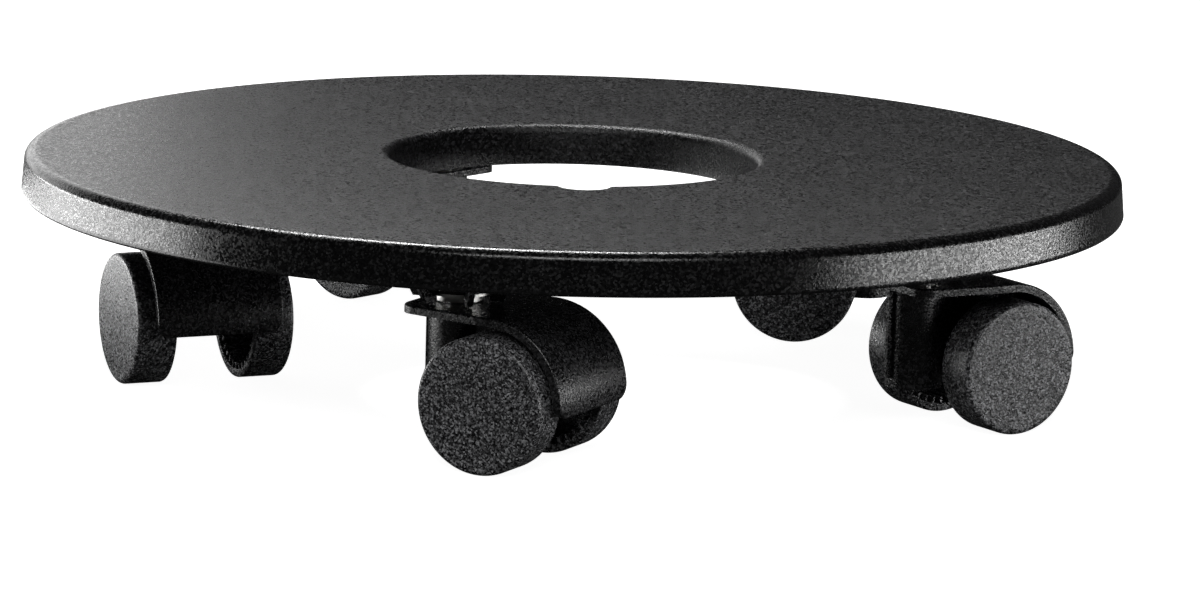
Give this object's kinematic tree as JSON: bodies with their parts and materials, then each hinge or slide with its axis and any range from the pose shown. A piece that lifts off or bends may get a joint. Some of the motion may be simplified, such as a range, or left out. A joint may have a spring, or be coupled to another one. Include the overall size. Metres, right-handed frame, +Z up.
{
  "type": "plant pot caddy",
  "caption": "Round moulded deck with a central hole on twin-wheel swivel casters, for rolling a heavy plant pot about indoors.",
  "frame": {"origin": "on the floor, under the middle of the round deck", "axes": "+Z up, out of the deck's top face; +Y away from a person looking at the side with the edge notch; +X to that person's right"},
  "size_m": [0.34, 0.34, 0.0686],
  "materials": {
    "deck_plastic": "charcoal black moulded plastic, fine grain on top, coarse leather grain on the rim, soft sheen",
    "caster_plastic": "black moulded nylon, leather grain",
    "wheel_plastic": "black moulded nylon, coarse leather grain on face and tread",
    "plated_steel": "zinc plated turned steel",
    "spring_steel": "bright spring steel",
    "axle_steel": "ground steel pin"
  },
  "bodies": {
    "base": {"deck": "deck_plastic", "stem_socket_1": "plated_steel", "grip_ring_1": "spring_steel", "stem_1": "plated_steel", "stem_socket_2": "plated_steel", "grip_ring_2": "spring_steel", "stem_2": "plated_steel", "stem_socket_3": "plated_steel", "grip_ring_3": "spring_steel", "stem_3": "plated_steel", "stem_socket_4": "plated_steel", "grip_ring_4": "spring_steel", "stem_4": "plated_steel", "stem_socket_5": "plated_steel", "grip_ring_5": "spring_steel", "stem_5": "plated_steel"},
    "caster_1": {"housing_1": "caster_plastic", "axle_1": "axle_steel"},
    "wheel_1_left": {"wheel_1_left": "wheel_plastic"},
    "wheel_1_right": {"wheel_1_right": "wheel_plastic"},
    "caster_2": {"housing_2": "caster_plastic", "axle_2": "axle_steel"},
    "wheel_2_left": {"wheel_2_left": "wheel_plastic"},
    "wheel_2_right": {"wheel_2_right": "wheel_plastic"},
    "caster_3": {"housing_3": "caster_plastic", "axle_3": "axle_steel"},
    "wheel_3_left": {"wheel_3_left": "wheel_plastic"},
    "wheel_3_right": {"wheel_3_right": "wheel_plastic"},
    "caster_4": {"housing_4": "caster_plastic", "axle_4": "axle_steel"},
    "wheel_4_left": {"wheel_4_left": "wheel_plastic"},
    "wheel_4_right": {"wheel_4_right": "wheel_plastic"},
    "caster_5": {"housing_5": "caster_plastic", "axle_5": "axle_steel"},
    "wheel_5_left": {"wheel_5_left": "wheel_plastic"},
    "wheel_5_right": {"wheel_5_right": "wheel_plastic"}
  },
  "joints": [
    {"name": "caster_1_swivel", "type": "hinge", "parent": "base", "child": "caster_1", "pos_m": [-0.03204, -0.11875, 0.0449], "axis": [0, 0, 1], "continuous": true},
    {"name": "wheel_1_left_roll", "type": "hinge", "parent": "caster_1", "child": "wheel_1_left", "pos_m": [-0.0136, -0.12881, 0.02], "axis": [-0.4787, -0.878, 0], "continuous": true},
    {"name": "wheel_1_right_roll", "type": "hinge", "parent": "caster_1", "child": "wheel_1_right", "pos_m": [-0.0136, -0.12881, 0.02], "axis": [-0.4787, -0.878, 0], "continuous": true},
    {"name": "caster_2_swivel", "type": "hinge", "parent": "base", "child": "caster_2", "pos_m": [0.10304, -0.06717, 0.0449], "axis": [0, 0, 1], "continuous": true},
    {"name": "wheel_2_left_roll", "type": "hinge", "parent": "caster_2", "child": "wheel_2_left", "pos_m": [0.12061, -0.05567, 0.02], "axis": [0.5476, -0.8368, 0], "continuous": true},
    {"name": "wheel_2_right_roll", "type": "hinge", "parent": "caster_2", "child": "wheel_2_right", "pos_m": [0.12061, -0.05567, 0.02], "axis": [0.5476, -0.8368, 0], "continuous": true},
    {"name": "caster_3_swivel", "type": "hinge", "parent": "base", "child": "caster_3", "pos_m": [0.09572, 0.07724, 0.0449], "axis": [0, 0, 1], "continuous": true},
    {"name": "wheel_3_left_roll", "type": "hinge", "parent": "caster_3", "child": "wheel_3_left", "pos_m": [0.0749, 0.07998, 0.02], "axis": [0.1305, 0.9914, 0], "continuous": true},
    {"name": "wheel_3_right_roll", "type": "hinge", "parent": "caster_3", "child": "wheel_3_right", "pos_m": [0.0749, 0.07998, 0.02], "axis": [0.1305, 0.9914, 0], "continuous": true},
    {"name": "caster_4_swivel", "type": "hinge", "parent": "base", "child": "caster_4", "pos_m": [-0.04388, 0.11491, 0.0449], "axis": [0, 0, 1], "continuous": true},
    {"name": "wheel_4_left_roll", "type": "hinge", "parent": "caster_4", "child": "wheel_4_left", "pos_m": [-0.05985, 0.12855, 0.02], "axis": [0.6494, 0.7604, 0], "continuous": true},
    {"name": "wheel_4_right_roll", "type": "hinge", "parent": "caster_4", "child": "wheel_4_right", "pos_m": [-0.05985, 0.12855, 0.02], "axis": [0.6494, 0.7604, 0], "continuous": true},
    {"name": "caster_5_swivel", "type": "hinge", "parent": "base", "child": "caster_5", "pos_m": [-0.12284, -0.00622, 0.0449], "axis": [0, 0, 1], "continuous": true},
    {"name": "wheel_5_left_roll", "type": "hinge", "parent": "caster_5", "child": "wheel_5_left", "pos_m": [-0.11454, -0.02551, 0.02], "axis": [-0.9184, -0.3955, 0], "continuous": true},
    {"name": "wheel_5_right_roll", "type": "hinge", "parent": "caster_5", "child": "wheel_5_right", "pos_m": [-0.11454, -0.02551, 0.02], "axis": [-0.9184, -0.3955, 0], "continuous": true}
  ]
}
